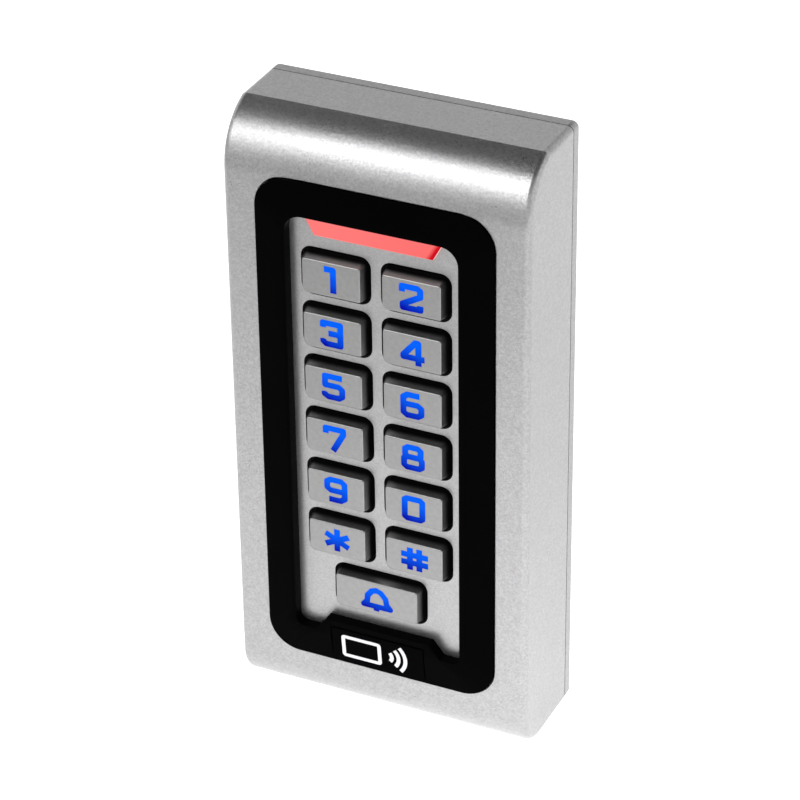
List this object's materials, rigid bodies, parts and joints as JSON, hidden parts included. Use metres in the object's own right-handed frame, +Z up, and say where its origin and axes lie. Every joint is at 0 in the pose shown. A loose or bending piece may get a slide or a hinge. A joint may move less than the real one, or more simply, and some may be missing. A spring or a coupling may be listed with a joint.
{
  "type": "keypad access reader",
  "caption": "Wall-mounted metal keypad reader: rolled-top silver casting, gloss black surround, lit push keys over a dome mat, status light bar, card antenna, relay board and back cover.",
  "frame": {"origin": "centre of the back cover's rear face, which lies against the wall", "axes": "+X to the right as the user sees the keys, +Y from the user into the wall, +Z up"},
  "size_m": [0.068, 0.0269, 0.14],
  "materials": {
    "casting_paint": "fine metallic silver paint, satin",
    "plate_paint": "fine metallic silver paint, satin",
    "cover_paint": "fine metallic silver paint, satin",
    "key_satin": "smooth grey satin",
    "legend_blue": "translucent blue, lit from below",
    "bezel_gloss": "polished black",
    "label_black": "printed black film",
    "light_red": "translucent red, lit from below",
    "lamp_red": "clear red lens",
    "lamp_blue": "clear blue lens",
    "carrier_plastic": "moulded black",
    "relay_plastic": "moulded blue",
    "chip_black": "moulded black",
    "connector_green": "moulded green",
    "sensor_lens": "clear amber",
    "board_green": "solder mask over glass laminate",
    "coil_copper": "enamelled copper wire",
    "brass_parts": "turned",
    "screw_steel": "plain",
    "seal_rubber": "moulded",
    "mat_silicone": "translucent silicone"
  },
  "bodies": {
    "reader_body": {"front_housing": "casting_paint", "keypad_plate": "plate_paint", "back_cover": "cover_paint", "cover_gasket": "seal_rubber", "cable_grommet": "seal_rubber", "dome_mat": "mat_silicone", "security_screw": "screw_steel", "bezel_screws": "screw_steel", "board_screws": "screw_steel", "controller_screws": "screw_steel", "security_insert": "brass_parts", "board_standoffs": "brass_parts", "contact_pads": "brass_parts", "bezel": "bezel_gloss", "nameplate": "label_black", "light_bar": "light_red", "status_lamps": "lamp_red", "key_lamps": "lamp_blue", "keypad_carrier": "carrier_plastic", "relay": "relay_plastic", "buzzer": "chip_black", "controller_chip": "chip_black", "reader_chip": "chip_black", "board_header": "chip_black", "wire_connector": "connector_green", "tamper_sensor": "sensor_lens", "keypad_board": "board_green", "controller_board": "board_green", "antenna_coil": "coil_copper"},
    "key_1": {"key_1": "key_satin", "legend_1": "legend_blue"},
    "key_2": {"key_2": "key_satin", "legend_2": "legend_blue"},
    "key_3": {"key_3": "key_satin", "legend_3": "legend_blue"},
    "key_4": {"key_4": "key_satin", "legend_4": "legend_blue"},
    "key_5": {"key_5": "key_satin", "legend_5": "legend_blue"},
    "key_6": {"key_6": "key_satin", "legend_6": "legend_blue"},
    "key_7": {"key_7": "key_satin", "legend_7": "legend_blue"},
    "key_8": {"key_8": "key_satin", "legend_8": "legend_blue"},
    "key_9": {"key_9": "key_satin", "legend_9": "legend_blue"},
    "key_0": {"key_0": "key_satin", "legend_0": "legend_blue"},
    "key_star": {"key_star": "key_satin", "legend_star": "legend_blue"},
    "key_hash": {"key_hash": "key_satin", "legend_hash": "legend_blue"},
    "key_bell": {"key_bell": "key_satin", "legend_bell": "legend_blue"}
  },
  "joints": [
    {"name": "press_1", "type": "slide", "parent": "reader_body", "child": "key_1", "axis": [0, 1, 0], "range_m": [0, 0.001], "stiffness_N_per_m": 800, "springref_m": -0.001, "deforming": ["dome_mat"]},
    {"name": "press_2", "type": "slide", "parent": "reader_body", "child": "key_2", "axis": [0, 1, 0], "range_m": [0, 0.001], "stiffness_N_per_m": 800, "springref_m": -0.001, "deforming": ["dome_mat"]},
    {"name": "press_3", "type": "slide", "parent": "reader_body", "child": "key_3", "axis": [0, 1, 0], "range_m": [0, 0.001], "stiffness_N_per_m": 800, "springref_m": -0.001, "deforming": ["dome_mat"]},
    {"name": "press_4", "type": "slide", "parent": "reader_body", "child": "key_4", "axis": [0, 1, 0], "range_m": [0, 0.001], "stiffness_N_per_m": 800, "springref_m": -0.001, "deforming": ["dome_mat"]},
    {"name": "press_5", "type": "slide", "parent": "reader_body", "child": "key_5", "axis": [0, 1, 0], "range_m": [0, 0.001], "stiffness_N_per_m": 800, "springref_m": -0.001, "deforming": ["dome_mat"]},
    {"name": "press_6", "type": "slide", "parent": "reader_body", "child": "key_6", "axis": [0, 1, 0], "range_m": [0, 0.001], "stiffness_N_per_m": 800, "springref_m": -0.001, "deforming": ["dome_mat"]},
    {"name": "press_7", "type": "slide", "parent": "reader_body", "child": "key_7", "axis": [0, 1, 0], "range_m": [0, 0.001], "stiffness_N_per_m": 800, "springref_m": -0.001, "deforming": ["dome_mat"]},
    {"name": "press_8", "type": "slide", "parent": "reader_body", "child": "key_8", "axis": [0, 1, 0], "range_m": [0, 0.001], "stiffness_N_per_m": 800, "springref_m": -0.001, "deforming": ["dome_mat"]},
    {"name": "press_9", "type": "slide", "parent": "reader_body", "child": "key_9", "axis": [0, 1, 0], "range_m": [0, 0.001], "stiffness_N_per_m": 800, "springref_m": -0.001, "deforming": ["dome_mat"]},
    {"name": "press_0", "type": "slide", "parent": "reader_body", "child": "key_0", "axis": [0, 1, 0], "range_m": [0, 0.001], "stiffness_N_per_m": 800, "springref_m": -0.001, "deforming": ["dome_mat"]},
    {"name": "press_star", "type": "slide", "parent": "reader_body", "child": "key_star", "axis": [0, 1, 0], "range_m": [0, 0.001], "stiffness_N_per_m": 800, "springref_m": -0.001, "deforming": ["dome_mat"]},
    {"name": "press_hash", "type": "slide", "parent": "reader_body", "child": "key_hash", "axis": [0, 1, 0], "range_m": [0, 0.001], "stiffness_N_per_m": 800, "springref_m": -0.001, "deforming": ["dome_mat"]},
    {"name": "press_bell", "type": "slide", "parent": "reader_body", "child": "key_bell", "axis": [0, 1, 0], "range_m": [0, 0.001], "stiffness_N_per_m": 800, "springref_m": -0.001, "deforming": ["dome_mat"]}
  ]
}
